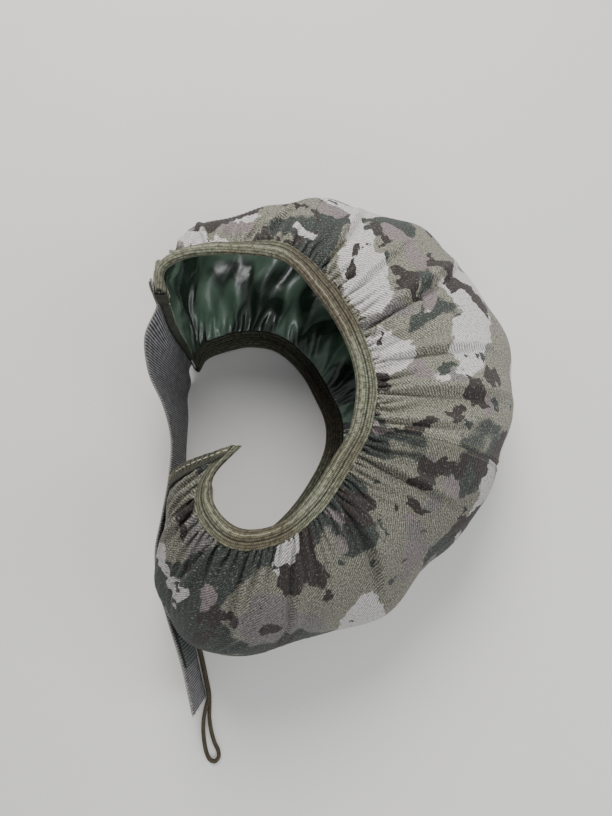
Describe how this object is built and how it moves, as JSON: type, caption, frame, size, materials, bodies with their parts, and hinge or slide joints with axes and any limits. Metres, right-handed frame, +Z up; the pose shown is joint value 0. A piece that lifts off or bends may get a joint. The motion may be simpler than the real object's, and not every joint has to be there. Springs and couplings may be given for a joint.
{
  "type": "camo face mask",
  "caption": "Wrap-around gathered cloth mask for the lower face and neck, satin lined, with elastic rims, a ribbed closing strap with hook tape and a hang loop.",
  "frame": {"origin": "middle of the footprint, on the surface that the lower rim stands on; the hang loop, a free cord, is left out of the footprint", "axes": "+Z up from the lower rim to the upper rim, +X toward the front of the face, +Y toward the cheek that the strap is sewn to"},
  "size_m": [0.23, 0.3643, 0.108],
  "materials": {
    "camouflage": "printed cotton twill, matt",
    "lining": "satin weave, soft sheen",
    "binding": "ribbed woven tape, matt",
    "elastic": "covered elastic cord",
    "hem_tape": "narrow woven tape",
    "webbing": "ribbed knitted elastic webbing",
    "hook_tape": "hook side of a touch fastener",
    "pile_tape": "loop side of a touch fastener",
    "loop_cord": "flat braided cord",
    "thread": "polyester sewing thread"
  },
  "bodies": {
    "strap_side": {"shell_strap_side": "camouflage", "lining_strap_side": "lining", "upper_binding_strap_side": "binding", "lower_binding_strap_side": "binding", "upper_elastic_strap_side": "elastic", "lower_elastic_strap_side": "elastic", "end_hem_strap_side": "hem_tape", "front_seam_tape": "hem_tape", "strap_root": "webbing", "strap_bartack_top": "thread", "strap_bartack_bottom": "thread"},
    "patch_side": {"shell_patch_side": "camouflage", "lining_patch_side": "lining", "upper_binding_patch_side": "binding", "lower_binding_patch_side": "binding", "upper_elastic_patch_side": "elastic", "lower_elastic_patch_side": "elastic", "end_hem_patch_side": "hem_tape", "loop_patch": "pile_tape"},
    "strap_middle": {"strap_middle": "webbing"},
    "strap_tail": {"strap_tail": "webbing", "hook_tape": "hook_tape", "hang_loop_bartack": "thread", "hang_loop": "loop_cord"}
  },
  "joints": [
    {"name": "front_fold", "type": "hinge", "parent": "strap_side", "child": "patch_side", "pos_m": [0.1035, -0.0151, 0.052], "axis": [0, 0, 1], "range_deg": [0, 30]},
    {"name": "strap_fold", "type": "hinge", "parent": "strap_side", "child": "strap_middle", "pos_m": [-0.1055, 0.006, 0.024], "axis": [0, 0, -1], "range_deg": [0, 110]},
    {"name": "strap_peel", "type": "hinge", "parent": "strap_middle", "child": "strap_tail", "pos_m": [-0.109, -0.045, 0.024], "axis": [0, 0, -1], "range_deg": [0, 80]}
  ]
}
